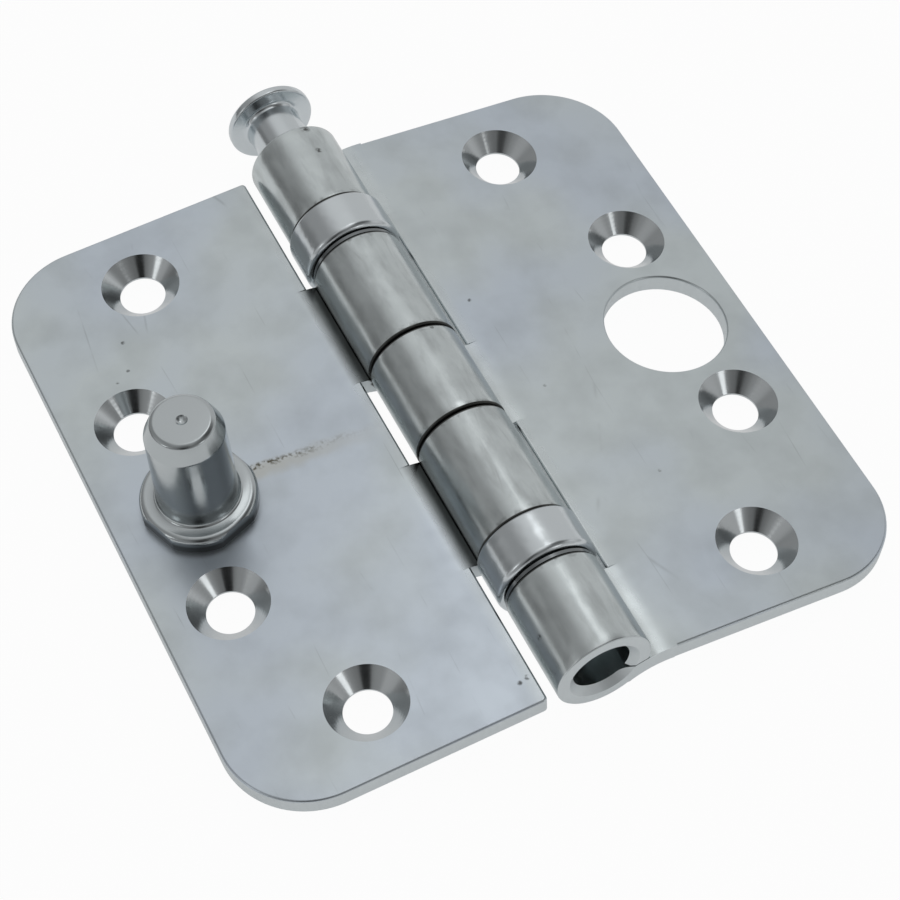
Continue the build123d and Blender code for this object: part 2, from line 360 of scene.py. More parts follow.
def plate(s):
    """The flat of a leaf, with rounded corners and a punched edge."""
    bm = bmesh.new()
    width = s.leaf_reach - s.inner_edge
    middle = s.inner_edge + width / 2
    stretch = Matrix.Diagonal((width, s.leaf_length, 1, 1))
    place = Matrix.Translation((middle, 0, s.leaf_top)) @ stretch
    bmesh.ops.create_grid(bm, x_segments=1, y_segments=1, size=0.5, matrix=place)
    outer = [v for v in bm.verts if v.co.x > middle]
    inner = [v for v in bm.verts if v.co.x < middle]
    for corners, radius, segments in ((outer, s.corner_radius, 28), (inner, s.inner_corner, 6)):
        bmesh.ops.bevel(
            bm, geom=corners, offset=radius, segments=segments, profile=0.5, affect="VERTICES", material=-1
        )
    lower = bmesh.ops.extrude_face_region(bm, geom=bm.faces[:])["geom"]
    moved = [g for g in lower if isinstance(g, bmesh.types.BMVert)]
    bmesh.ops.translate(bm, verts=moved, vec=(0, 0, -s.sheet))
    close_and_face_out(bm)
    for height, size, segments in ((s.leaf_top, s.edge_roll, 4), (s.leaf_bottom, s.edge_burr, 2)):
        rim = [e for e in bm.edges if all(abs(v.co.z - height) < NEAR for v in e.verts)]
        bmesh.ops.bevel(
            bm, geom=rim, offset=size, segments=segments, profile=0.5, affect="EDGES", material=-1
        )
    return bm


def curl_angle(s, radius):
    """Where the rolled end, which lies along its own tab, crosses a circle about the pin."""
    radius = max(radius, s.bore_r + s.curl_nose)
    end_bend = s.swage_radius + s.sheet / 2 + s.curl_gap
    along = (radius**2 - end_bend**2 + s.swage_span**2) / (2 * s.swage_span)
    return s.meet + math.acos(along / radius)


def knuckle(s, start, end):
    """A tab rolled round the pin: swept down off the leaf, then round to close on itself."""
    bm = bmesh.new()
    stretch = Matrix.Diagonal((s.sheet, end - start, 1, 1))
    turn = Matrix.Rotation(math.radians(90), 4, "Y")
    root = s.sheet / 4
    place = Matrix.Translation((s.swage_x + root, (start + end) / 2, s.leaf_middle)) @ turn @ stretch
    bmesh.ops.create_grid(bm, x_segments=5, y_segments=10, size=0.5, matrix=place)
    section = bmesh.ops.extrude_face_region(bm, geom=bm.faces[:])["geom"]
    verts = [g for g in section if isinstance(g, bmesh.types.BMVert)]
    bmesh.ops.translate(bm, verts=verts, vec=(-root, 0, 0))
    swage = (s.swage_x, 0, -s.swage_drop)
    drop = s.meet + math.pi / 2
    moved = bmesh.ops.spin(
        bm, geom=section, cent=swage, axis=(0, -1, 0), dvec=(0, 0, 0), angle=drop, steps=SWAGE_STEPS
    )["geom_last"]
    outer_end = curl_angle(s, s.barrel_r)
    moved = bmesh.ops.spin(
        bm, geom=moved, cent=(0, 0, 0), axis=(0, 1, 0), dvec=(0, 0, 0),
        angle=s.meet - outer_end + math.tau, steps=ROLL_STEPS,
    )["geom_last"]
    # The inner layers go on further, each as far as the tab that the rolled end lies along.
    rolled = set(bm.verts)
    bmesh.ops.spin(
        bm, geom=moved, cent=(0, 0, 0), axis=(0, 1, 0), dvec=(0, 0, 0),
        angle=outer_end - curl_angle(s, s.bore_r), steps=ROLLED_END_STEPS,
    )
    for vert in [v for v in bm.verts if v not in rolled]:
        radius = math.hypot(vert.co.x, vert.co.z)
        angle = max(math.atan2(vert.co.z, vert.co.x), curl_angle(s, radius))
        vert.co.x = radius * math.cos(angle)
        vert.co.z = radius * math.sin(angle)
    bmesh.ops.remove_doubles(bm, verts=bm.verts, dist=0.02)
    close_and_face_out(bm)
    corners = []
    for edge in bm.edges:
        at_end = all(min(abs(v.co.y - start), abs(v.co.y - end)) < NEAR for v in edge.verts)
        outside = all(abs(math.hypot(v.co.x, v.co.z) - s.barrel_r) < NEAR for v in edge.verts)
        if at_end and outside and edge.calc_face_angle(0) > math.radians(60):
            corners.append(edge)
    bmesh.ops.bevel(
        bm, geom=corners, offset=s.knuckle_edge, segments=3, profile=0.5, affect="EDGES", material=-1
    )
    return bm


def notch(s, start, end):
    """The part of a leaf's flat that a rolled tab takes the place of."""
    bm = bmesh.new()
    reach = s.swage_x - s.inner_edge
    outer = reach + s.sheet
    stretch = Matrix.Diagonal((outer, end - start, 2 * s.sheet, 1))
    middle = (s.swage_x - outer / 2, (start + end) / 2, s.leaf_middle)
    bmesh.ops.create_cube(bm, size=1, matrix=Matrix.Translation(middle) @ stretch)
    return bm


def countersunk_hole(s, x, y):
    """What a drill and a countersink take out of a leaf."""
    hole = s.screw_hole / 2
    rim = s.countersink / 2
    slope = (rim - hole) / s.countersink_depth
    above = s.sheet / 2
    points = [
        (0, above),
        (rim + slope * above, above),
        (hole, -s.countersink_depth),
        (hole, -s.sheet - above),
        (0, -s.sheet - above),
    ]
    return move(lathe(points, HOLE_STEPS), Matrix.Translation((x, y, s.leaf_top)))


def punched_hole(s):
    """What the punch takes out for the stud, with the edge that it rounds."""
    radius = s.stud_hole_r
    above = s.sheet / 2
    lip = radius + 2 * s.edge_roll
    rise = s.edge_roll / 3
    points = [
        (0, above),
        (lip, above),
        (lip, rise),
        (radius, 0),
        (radius, -s.sheet - above),
        (0, -s.sheet - above),
    ]
    bm = lathe(points, ROUND_STEPS)
    round_ring(bm, radius, 0, s.edge_roll, 5)
    return move(bm, Matrix.Translation((s.stud_x + s.hole_lead, 0, s.leaf_top)))


def rivet_hole(s):
    """The hole for the stud's tail, wider at the back."""
    radius = s.rivet / 2 + s.rivet_clearance
    above = s.sheet / 2
    points = [
        (0, above),
        (radius, above),
        (radius, s.rivet_flare - s.sheet),
        (radius + s.rivet_flare, -s.sheet),
        (radius + s.rivet_flare, -s.sheet - above),
        (0, -s.sheet - above),
    ]
    return move(lathe(points, RIVET_STEPS), Matrix.Translation((s.stud_x, 0, s.leaf_top)))


def barrel_mouth(s, side):
    """The chamfer of the bore at one end of the barrel, 1 by the pin's head and -1 at its foot."""
    above = s.bore_chamfer
    points = [
        (0, above),
        (s.bore_r + 2 * s.bore_chamfer, above),
        (s.bore_r, -s.bore_chamfer),
        (0, -s.bore_chamfer),
    ]
    outwards = Matrix.Rotation(math.radians(-90 * side), 4, "X")
    return move(lathe(points, HOLE_STEPS), Matrix.Translation((0, side * s.half_length, 0)) @ outwards)


def mark_surfaces(obj, s, knuckles):
    """Gives each face its surface, and marks the countersinks' rings and the joints of the barrel."""
    mesh = obj.data
    turning = mesh.attributes.new("turning", "FLOAT", "POINT")
    joint_end = mesh.attributes.new("joint_end", "FLOAT", "POINT")
    rim = s.countersink / 2
    ends = [y for span in knuckles for y in span if abs(y) < s.half_length - s.knuckle_edge]
    for vert in mesh.vertices:
        for x, y in s.screws:
            away = math.hypot(vert.co.x - x, vert.co.y - y)
            if away < rim + s.edge_burr:
                turning.data[vert.index].value = away
        # The ends of the knuckles at the barrel's joints, where the leaves' materials paint shade into the
        # joints
        if math.hypot(vert.co.x, vert.co.z) < s.barrel_r + s.edge_burr:
            if min(abs(vert.co.y - y) for y in ends) < s.knuckle_edge + s.edge_burr:
                joint_end.data[vert.index].value = 1.0
    for face in mesh.polygons:
        c = face.center
        in_screw_hole = any(math.hypot(c.x - x, c.y - y) < rim for x, y in s.screws)
        below = c.z < s.leaf_top - NEAR
        in_barrel = c.x < s.inner_edge
        if in_screw_hole and below and abs(face.normal.z) < 0.99:
            face.material_index = TURNED
        elif not in_barrel and abs(face.normal.z) < 0.3:
            face.material_index = SHEARED
        elif in_barrel and abs(face.normal.y) > 0.6:
            face.material_index = SHEARED


def rolled_leaf(name, s, knuckles, holes):
    """A leaf in millimetres that reaches out along X, with its knuckles and holes."""
    leaf = solid(name, plate(s))
    combine(leaf, solid("notches", *[notch(s, *span) for span in knuckles]), "DIFFERENCE")
    combine(leaf, solid("knuckles", *[knuckle(s, *span) for span in knuckles]), "UNION")
    screws = [countersunk_hole(s, x, y) for x, y in s.screws]
    combine(leaf, solid("holes", *screws, *holes), "DIFFERENCE")
    mark_surfaces(leaf, s, knuckles)
    return leaf


class HINGE_OT_leaves(bpy.types.Operator):
    """Make the two leaves with their rolled knuckles"""

    bl_idname = "hinge.leaves"
    bl_label = "Leaves"

    def execute(self, context):
        s = millimetres()
        turned = turned_countersink()
        sheared = sheared_edge()
        spans = [(s.end_start, s.half_length), (-s.middle_end, s.middle_end), (-s.half_length, -s.end_start)]
        holes = [punched_hole(s), barrel_mouth(s, 1), barrel_mouth(s, -1)]
        leaf = rolled_leaf("frame_leaf_sheet", s, spans, holes)
        flat = zinc_plate("Zinc plated steel, frame leaf", s, FRAME_MARKS, False)
        finish(leaf, FRAME_SIDE, "frame_leaf", "frame_half", [flat, turned, sheared])
        spans = [(s.door_start, s.bearing_start), (-s.bearing_start, -s.door_start)]
        leaf = rolled_leaf("door_leaf_sheet", s, spans, [rivet_hole(s)])
        flat = zinc_plate("Zinc plated steel, door leaf", s, DOOR_MARKS, True)
        finish(leaf, DOOR_SIDE, "door_leaf", "door_half", [flat, turned, sheared])
        return {"FINISHED"}


# Stud

def stud_collar(s):
    """The stud's foot, turned and then cut to four flats."""
    radius = s.collar / 2
    points = [(0, s.collar_height), (radius, s.collar_height), (radius, 0), (0, 0)]
    bm = lathe(points, ROUND_STEPS)
    round_ring(bm, radius, s.collar_height, s.collar_round, 6)
    for quarter in range(4):
        angle = math.radians(90 * quarter - COLLAR_TURN)
        outwards = Vector((math.cos(angle), math.sin(angle), 0))
        bmesh.ops.bisect_plane(
            bm, geom=bm.verts[:] + bm.edges[:] + bm.faces[:],
            plane_co=outwards * (radius - s.collar_flat), plane_no=outwards, clear_outer=True,
        )
        close_and_face_out(bm)
    return bm


def stud_shaft(s):
    """The stud's body, with its taper, turning centre and riveted tail."""
    radius = s.stud / 2
    shoulder = s.stud_shoulder / 2
    root = radius + s.collar_fillet
    tail = s.rivet / 2
    points = [
        (0, s.stud_height - s.stud_centre_depth),
        (s.stud_centre / 2, s.stud_height),
        (s.stud_face / 2, s.stud_height),
        (s.stud_tip / 2, s.stud_height - s.stud_edge),
        (shoulder, s.stud_height - s.stud_lead_in),
        (radius, s.collar_height),
        (root + s.collar_fillet, s.collar_height - s.edge_burr),
        (root, s.collar_rim),
        (tail, s.collar_rim),
        (tail, s.rivet_flare - s.sheet),
        (tail + s.rivet_flare, -s.sheet),
        (0, -s.sheet),
    ]
    bm = lathe(points, ROUND_STEPS)
    round_ring(bm, s.stud_tip / 2, s.stud_height - s.stud_edge, s.stud_edge / 2, 4)
    round_ring(bm, shoulder, s.stud_height - s.stud_lead_in, s.stud_edge / 2, 3)
    round_ring(bm, s.stud_face / 2, s.stud_height, s.stud_edge / 2, 3)
    round_ring(bm, radius, s.collar_height, s.collar_fillet, 6)
    return bm


class HINGE_OT_stud(bpy.types.Operator):
    """Make the turned security stud"""

    bl_idname = "hinge.stud"
    bl_label = "Security stud"

    def execute(self, context):
        s = millimetres()
        stud = solid("security_stud_turned", stud_collar(s))
        combine(stud, solid("shaft", stud_shaft(s)), "UNION")
        place = DOOR_SIDE @ Matrix.Translation(Vector((s.stud_x, 0, s.leaf_top)) * MM)
        finish(stud, place, "security_stud", "door_half", [turned_stud(s)])
        return {"FINISHED"}


# Pin

class HINGE_OT_pin(bpy.types.Operator):
    """Make the loose pin with its mushroom head"""

    bl_idname = "hinge.pin"
    bl_label = "Loose pin"

    def execute(self, context):
        s = millimetres()
        radius = s.pin / 2
        head = s.head / 2
        foot = s.pin_setback - s.half_length
        rim_top = s.half_length + s.head_rim
        points = [
            (0, rim_top + s.head_crown),
            (head, rim_top),
            (head, s.half_length),
            (radius, s.half_length),
            (radius, foot + s.pin_point),
            (radius - s.pin_point, foot),
            (0, foot),
        ]
        bm = lathe(points, ROUND_STEPS)
        round_ring(bm, head, rim_top, s.head_edge, 5)
        round_ring(bm, head, s.half_length, s.head_edge, 5)
        round_ring(bm, radius, s.half_length, s.head_fillet, 6)
        pin = solid("hinge_pin_headed", move(bm, Matrix.Translation((0, 0, s.pin_lift))))
        finish(pin, BARREL @ ALONG_PIN, "hinge_pin", "loose_pin", [drawn_pin()])
        return {"FINISHED"}


# Bearings

def shell_cup(s):
    """A drawn cup, closed end up, whose open end turns in to a lip."""
    inner = s.shell_r - s.shell_wall
    throat = s.pin / 2 + 2 * s.ring_clearance
    lip = s.shell_r - s.shell_lip
    points = [
        (throat, s.shell_height),
        (s.shell_r, s.shell_height),
        (s.shell_r, 0),
        (lip, 0),
        (lip, s.shell_wall),
        (inner, s.shell_lip),
        (inner, s.shell_height - s.shell_wall),
        (throat, s.shell_height - s.shell_wall),
        (throat, s.shell_height),
    ]
    bm = lathe(points, SHELL_STEPS)
    round_ring(bm, s.shell_r, s.shell_height, s.shell_shoulder, 5)
    round_ring(bm, s.shell_r, 0, s.shell_lip * 0.98, 8)
    return bm


class HINGE_OT_bearings(bpy.types.Operator):
    """Make the bearing shells and finish the races and balls"""

    bl_idname = "hinge.bearings"
    bl_label = "Bearings"

    def execute(self, context):
        s = millimetres()
        drawn = drawn_shell()
        ground = ground_steel()
        lip = s.bearing_space - s.seat_gap - s.shell_height
        for name, body, foot in (
            ("head_bearing", "frame_half", s.bearing_start),
            ("foot_bearing", "door_half", -s.end_start),
        ):
            bm = move(shell_cup(s), Matrix.Translation((0, 0, foot + lip)))
            shell = solid(name + "_cup", bm)
            # Rises towards the shell's closed end, where its material paints shade next to the knuckle
            joint_end = shell.data.attributes.new("joint_end", "FLOAT", "POINT")
            shoulder = foot + lip + s.shell_height - s.shell_shoulder
            for vert in shell.data.vertices:
                joint_end.data[vert.index].value = (vert.co.z - shoulder) / s.shell_shoulder
            finish(shell, BARREL @ ALONG_PIN, name + "_shell", body, [drawn])
        for name, node in frame["nodes"].items():
            if "_race" in name or "_ball" in name:
                node.data.materials.clear()
                node.data.materials.append(ground)
        return {"FINISHED"}


# Materials

# Pits and specks in the plating: place and radius in millimetres
FRAME_MARKS = (
    (11.1, 8.7, 5.5, 0.35),
    (13.6, -7.8, 5.3, 0.3),
    (20.6, -25.5, 4.8, 0.3),
    (1.6, 35.0, 12.8, 0.55),
    (1.6, 39.3, 12.8, 0.8),
    (2.1, 1.7, 12.6, 0.35),
    (-5.7, -43.1, 9.4, 0.5),
)
DOOR_MARKS = (
    (-32.0, 22.6, 4.0, 0.35),
    (-33.1, 18.1, 4.0, 0.3),
    (-35.0, 17.0, 3.9, 0.3),
    (-8.3, -45.4, 5.7, 0.45),
    (-9.4, -45.7, 5.6, 0.4),
)

# The rusted line: where it starts, how far it is turned, and the height that only the upper face is above
RUST_START = (-24.7 * MM, -3.25 * MM, 0)
RUST_TURN = math.radians(-4.3)
UPPER_FACE = 3.8 * MM
# Millimetres between the rings in a countersink
RING_PITCH = 0.4
# Middle of the groove beside the door leaf's knuckles, from the pin's axis, which painted shade darkens
GROOVE = (-6.7 * MM, 0, -1.1 * MM)


def add_node(tree, kind, inputs=None, **settings):
    """Adds a node with its settings, and fills its inputs with values or with what other nodes give."""
    node = tree.nodes.new("ShaderNode" + kind)
    for name, value in settings.items():
        setattr(node, name, value)
    for key, value in (inputs or {}).items():
        if isinstance(value, bpy.types.Node):
            value = next(socket for socket in value.outputs if socket.enabled)
        if isinstance(value, bpy.types.NodeSocket):
            tree.links.new(value, node.inputs[key])
        else:
            node.inputs[key].default_value = value
    return node


def new_material(name):
    """An empty material, its node tree and the place on the piece."""
    material = bpy.data.materials.new(name)
    material.use_nodes = True
    tree = material.node_tree
    tree.nodes.clear()
    return material, tree, add_node(tree, "TexCoord").outputs["Object"]


def per_metre(size_mm):
    """The texture scale whose pattern repeats about every so many millimetres."""
    return 1 / (size_mm * MM)


def colours():
    """The colours of the hinge's metals."""
    return bpy.context.scene.hinge_colours


def bare_metal(material, tree, tint, rough, normal=None):
    """Gives a material its surface, which is metal all through, and hands it back."""
    inputs = {"Base Color": tint, "Metallic": 1.0, "Roughness": rough}
    if normal:
        inputs["Normal"] = normal
    surface = add_node(tree, "BsdfPrincipled", inputs)
    add_node(tree, "OutputMaterial", {"Surface": surface})
    return material


def mark_mask(tree, place, spots):
    """Where the pits and specks are, with ragged outlines."""
    mask = 0.0
    for x, y, z, radius in spots:
        centre = (x * MM, y * MM, z * MM)
        away = add_node(tree, "VectorMath", {0: place, 1: centre}, operation="DISTANCE")
        spot = add_node(tree, "MapRange", {0: away, 1: radius * MM, 2: radius * MM / 2})
        mask = add_node(tree, "Math", {0: mask, 1: spot}, operation="MAXIMUM")
    crumbs = add_node(tree, "TexNoise", {"Vector": place, "Scale": per_metre(0.5), "Detail": 3.0})
    ragged = add_node(tree, "MapRange", {0: crumbs, 1: 0.35, 2: 0.6, 4: 0.85})
    return add_node(tree, "Math", {0: mask, 1: ragged}, operation="MULTIPLY")


def rust_masks(tree, place):
    """Where the rust and the stain beside it are: a line from the stud's collar towards the barrel."""
    line = add_node(
        tree, "Mapping",
        {"Vector": place, "Location": RUST_START, "Rotation": (0, 0, RUST_TURN)},
        vector_type="TEXTURE",
    )
    parts = add_node(tree, "SeparateXYZ", {0: line})
    along = parts.outputs["X"]
    bends = add_node(tree, "TexNoise", {"Vector": place, "Scale": per_metre(2.5), "Detail": 3.0})
    wander = add_node(tree, "MapRange", {0: bends, 1: 0.0, 2: 1.0, 3: -0.8 * MM, 4: 0.8 * MM})
    across = add_node(tree, "Math", {0: parts.outputs["Y"], 1: wander}, operation="ADD")
    start = add_node(tree, "MapRange", {0: along, 1: -2.0 * MM, 2: -0.5 * MM})
    fade = add_node(tree, "MapRange", {0: along, 1: 18.0 * MM, 2: 3.0 * MM})
    reach = add_node(tree, "Math", {0: start, 1: fade}, operation="MULTIPLY")
    upper = add_node(tree, "Math", {0: parts.outputs["Z"], 1: UPPER_FACE}, operation="GREATER_THAN")
    reach = add_node(tree, "Math", {0: reach, 1: upper}, operation="MULTIPLY")

    width = add_node(tree, "Math", {0: across}, operation="ABSOLUTE")
    core = add_node(tree, "MapRange", {0: width, 1: 0.7 * MM, 2: 0.1 * MM})
    specks = add_node(tree, "TexNoise", {"Vector": place, "Scale": per_metre(0.45), "Detail": 2.0})
    crumbs = add_node(tree, "MapRange", {0: specks, 1: 0.45, 2: 0.6, 4: 0.85})
    core = add_node(tree, "Math", {0: core, 1: crumbs}, operation="MULTIPLY")
    strong = add_node(tree, "Math", {0: reach, 1: 2.0}, operation="POWER")
    rust = add_node(tree, "Math", {0: core, 1: strong}, operation="MULTIPLY")

    near_side = add_node(tree, "Math", {0: across, 1: 0.7 * MM}, operation="ADD")
    width = add_node(tree, "Math", {0: near_side}, operation="ABSOLUTE")
    halo = add_node(
        tree, "MapRange", {0: width, 1: 1.8 * MM, 2: 0.2 * MM, 4: 0.36},
        interpolation_type="SMOOTHSTEP",
    )
    stain = add_node(tree, "Math", {0: halo, 1: reach}, operation="MULTIPLY")
    return rust, stain


def zinc_plate(name, s, spots, rust_and_groove_shade):
    """Bright zinc on cold rolled sheet, with knuckles that the rolling burnished."""
    # It is a cool satin grey, softly cloudy and barely scratched. The knuckles mirror more,
    # and ripple a little.
    material, tree, place = new_material(name)
    c = colours()
    from_axis = add_node(tree, "VectorMath", {0: place, 1: (0, AXIS.y, AXIS.z)}, operation="SUBTRACT")
    across = add_node(tree, "VectorMath", {0: from_axis, 1: (1, 0, 1)}, operation="MULTIPLY")
    radius = add_node(tree, "VectorMath", {0: across}, operation="LENGTH")
    rolled = add_node(tree, "MapRange", {0: radius, 1: s.swage_x * MM, 2: (s.barrel_r + 0.3) * MM})

    clouds = add_node(tree, "TexNoise", {"Vector": place, "Scale": per_metre(24), "Detail": 2.0})
    patch = add_node(tree, "MapRange", {0: clouds, 1: 0.4, 2: 0.6})
    tint = add_node(tree, "Mix", {0: patch, 6: c.zinc_cool, 7: c.zinc_warm}, data_type="RGBA")
    tint = add_node(tree, "Mix", {0: rolled, 6: tint, 7: c.rolled}, data_type="RGBA")

    # Dull streaks run along the rolled knuckles.
    drawn_out = add_node(tree, "Mapping", {"Vector": place, "Scale": (1, 0.3, 1)})
    streak = add_node(tree, "TexNoise", {"Vector": drawn_out, "Scale": per_metre(1.5), "Detail": 5.0})
    dull = add_node(tree, "MapRange", {0: streak, 1: 0.45, 2: 0.75, 4: 0.24})
    dull = add_node(tree, "Math", {0: dull, 1: rolled}, operation="MULTIPLY")

    # Scratches lie along long cell borders, and only where a second pattern lets them show.
    # They are drawn a tenth of a millimetre wide, which is coarser than they are.
    slanted = add_node(
        tree, "Mapping",
        {"Vector": place, "Rotation": (0, 0, math.radians(35)), "Scale": (1, 0.12, 1)},
    )
    cells = add_node(
        tree, "TexVoronoi", {"Vector": slanted, "Scale": per_metre(8)},
        feature="DISTANCE_TO_EDGE", voronoi_dimensions="2D",
    )
    line = add_node(tree, "MapRange", {0: cells, 1: 0.012, 2: 0.0})
    gaps = add_node(tree, "TexNoise", {"Vector": place, "Scale": per_metre(7), "Detail": 2.0})
    shown = add_node(tree, "MapRange", {0: gaps, 1: 0.55, 2: 0.68, 4: 0.2})
    scratch = add_node(tree, "Math", {0: line, 1: shown}, operation="MULTIPLY")

    # Specks of dirt a third of a millimetre across lie in a few cells of 7 mm.
    dots = add_node(tree, "TexVoronoi", {"Vector": place, "Scale": per_metre(7)})
    few = add_node(tree, "Math", {0: dots.outputs["Color"], 1: 0.78}, operation="GREATER_THAN")
    dot = add_node(tree, "MapRange", {0: dots, 1: 0.045, 2: 0.02, 4: 0.4})
    speck = add_node(tree, "Math", {0: dot, 1: few}, operation="MULTIPLY")
    mark = mark_mask(tree, place, spots)

    # Painted shade darkens the joints of the barrel, and dark flecks spread a little beside them.
    near_joint = add_node(tree, "Attribute", attribute_name="joint_end").outputs["Fac"]
    end = add_node(tree, "MapRange", {0: near_joint, 1: 0.45, 2: 1.0})
    flecks = add_node(tree, "TexNoise", {"Vector": place, "Scale": per_metre(0.9), "Detail": 4.0})
    torn_and_joint_shade = add_node(tree, "MapRange", {0: flecks, 1: 0.5, 2: 0.68, 4: 0.6})
    torn_and_joint_shade = add_node(tree, "Math", {0: torn_and_joint_shade, 1: end}, operation="MULTIPLY")
    joint_shade = add_node(tree, "MapRange", {0: near_joint, 1: 0.93, 2: 0.99, 4: 0.95})
    torn_and_joint_shade = add_node(tree, "Math", {0: torn_and_joint_shade, 1: joint_shade}, operation="MAXIMUM")

    hazes = add_node(tree, "TexNoise", {"Vector": place, "Scale": per_metre(6), "Detail": 4.0})
    haze = add_node(tree, "MapRange", {0: hazes, 1: 0.4, 2: 0.7, 4: 0.12})
    # Among these masks, the darkness in the barrel's joints is painted shade; the others are marks on the
    # zinc
    for dirt_and_shade in (dull, scratch, speck, mark, torn_and_joint_shade, haze):
        tint = add_node(tree, "Mix", {0: dirt_and_shade, 6: tint, 7: c.grime_and_shade}, data_type="RGBA")
    # The flats stay rougher than 0.275 and the knuckles smoother, as a render's denoiser leaves grain
    # where a metal's roughness crosses that value.
    flat = add_node(tree, "MapRange", {0: hazes, 1: 0.35, 2: 0.65, 3: 0.28, 4: 0.335})
    streaks = add_node(tree, "TexNoise", {"Vector": place, "Scale": per_metre(4), "Detail": 3.0})
    burnished = add_node(tree, "MapRange", {0: streaks, 1: 0.35, 2: 0.65, 3: 0.2, 4: 0.268})
    rough = add_node(tree, "Mix", {0: rolled, 2: flat, 3: burnished})
    if rust_and_groove_shade:
        # Painted shade darkens the groove beside this leaf's knuckles.
        away = add_node(tree, "VectorMath", {0: across, 1: GROOVE}, operation="DISTANCE")
        groove_shade = add_node(tree, "MapRange", {0: away, 1: 2.0 * MM, 2: 0.8 * MM, 4: 0.6})
        along_pin = add_node(tree, "SeparateXYZ", {0: from_axis}).outputs["Y"]
        from_middle = add_node(tree, "Math", {0: along_pin}, operation="ABSOLUTE")
        start = s.door_start * MM
        end = s.bearing_start * MM
        inner = add_node(tree, "MapRange", {0: from_middle, 1: start - 0.1 * MM, 2: start})
        outer = add_node(tree, "MapRange", {0: from_middle, 1: end + 0.1 * MM, 2: end})
        beside = add_node(tree, "Math", {0: inner, 1: outer}, operation="MULTIPLY")
        groove_shade = add_node(tree, "Math", {0: groove_shade, 1: beside}, operation="MULTIPLY")
        tint = add_node(tree, "Mix", {0: groove_shade, 6: tint, 7: c.grime_and_shade}, data_type="RGBA")
        rust, stain = rust_masks(tree, place)
        tint = add_node(tree, "Mix", {0: stain, 6: tint, 7: c.stain}, data_type="RGBA")
        tint = add_node(tree, "Mix", {0: rust, 6: tint, 7: c.rust}, data_type="RGBA")
        rough = add_node(tree, "Mix", {0: rust, 2: rough, 3: 0.7})

    # Ripples a few millimetres long bend the reflections, most of all in the rolled barrel.
    along = add_node(tree, "Mapping", {"Vector": place, "Scale": (1, 0.4, 1)})
    waves = add_node(tree, "TexNoise", {"Vector": along, "Scale": per_metre(4.5), "Detail": 1.5})
    depth = add_node(tree, "MapRange", {0: rolled, 3: 0.3, 4: 1.0})
    ripple = add_node(tree, "Bump", {"Height": waves, "Distance": 0.09 * MM, "Strength": depth})
    grains = add_node(tree, "TexNoise", {"Vector": place, "Scale": per_metre(1.2), "Detail": 2.0})
    grain = add_node(
        tree, "Bump", {"Height": grains, "Distance": 0.004 * MM, "Strength": 1.0, "Normal": ripple}
    )
    return bare_metal(material, tree, tint, rough, grain)


def turned_countersink():
    """Plated steel that a countersink cut."""
    # A near mirror, smeared in places. The tool's fine rings are drawn faintly, and coarser than
    # they are.
    material, tree, place = new_material("Zinc plated steel, turned countersink")
    radius = add_node(tree, "Attribute", attribute_name="turning").outputs["Fac"]
    turns = add_node(tree, "Math", {0: radius, 1: math.tau / RING_PITCH}, operation="MULTIPLY")
    rings = add_node(tree, "Math", {0: turns}, operation="SINE")
    smear = add_node(tree, "TexNoise", {"Vector": place, "Scale": per_metre(1.5), "Detail": 4.0})
    rough = add_node(tree, "MapRange", {0: smear, 3: 0.09, 4: 0.22})
    bump = add_node(tree, "Bump", {"Height": rings, "Distance": 0.0004 * MM, "Strength": 1.0})
    return bare_metal(material, tree, colours().turned, rough, bump)


def sheared_edge():
    """Plated sheet edge as the punch left it."""
    # Pale and dull, with short upright tears, and black with painted shade inside the joints of the barrel.
    material, tree, place = new_material("Zinc plated steel, sheared edge")
    c = colours()
    near_joint = add_node(tree, "Attribute", attribute_name="joint_end").outputs["Fac"]
    # Painted shade: the knuckles' end faces go nearly black inside the barrel's joints
    joint_shade = add_node(tree, "MapRange", {0: near_joint, 1: 0.3, 2: 0.8, 4: 0.95})
    tint = add_node(tree, "Mix", {0: joint_shade, 6: c.sheared, 7: c.grime_and_shade}, data_type="RGBA")
    upright = add_node(tree, "Mapping", {"Vector": place, "Scale": (1, 1, 0.2)})
    tears = add_node(tree, "TexNoise", {"Vector": upright, "Scale": per_metre(0.5), "Detail": 3.0})
    rough = add_node(tree, "MapRange", {0: tears, 3: 0.42, 4: 0.6})
    bump = add_node(tree, "Bump", {"Height": tears, "Distance": 0.004 * MM, "Strength": 1.0})
    return bare_metal(material, tree, tint, rough, bump)


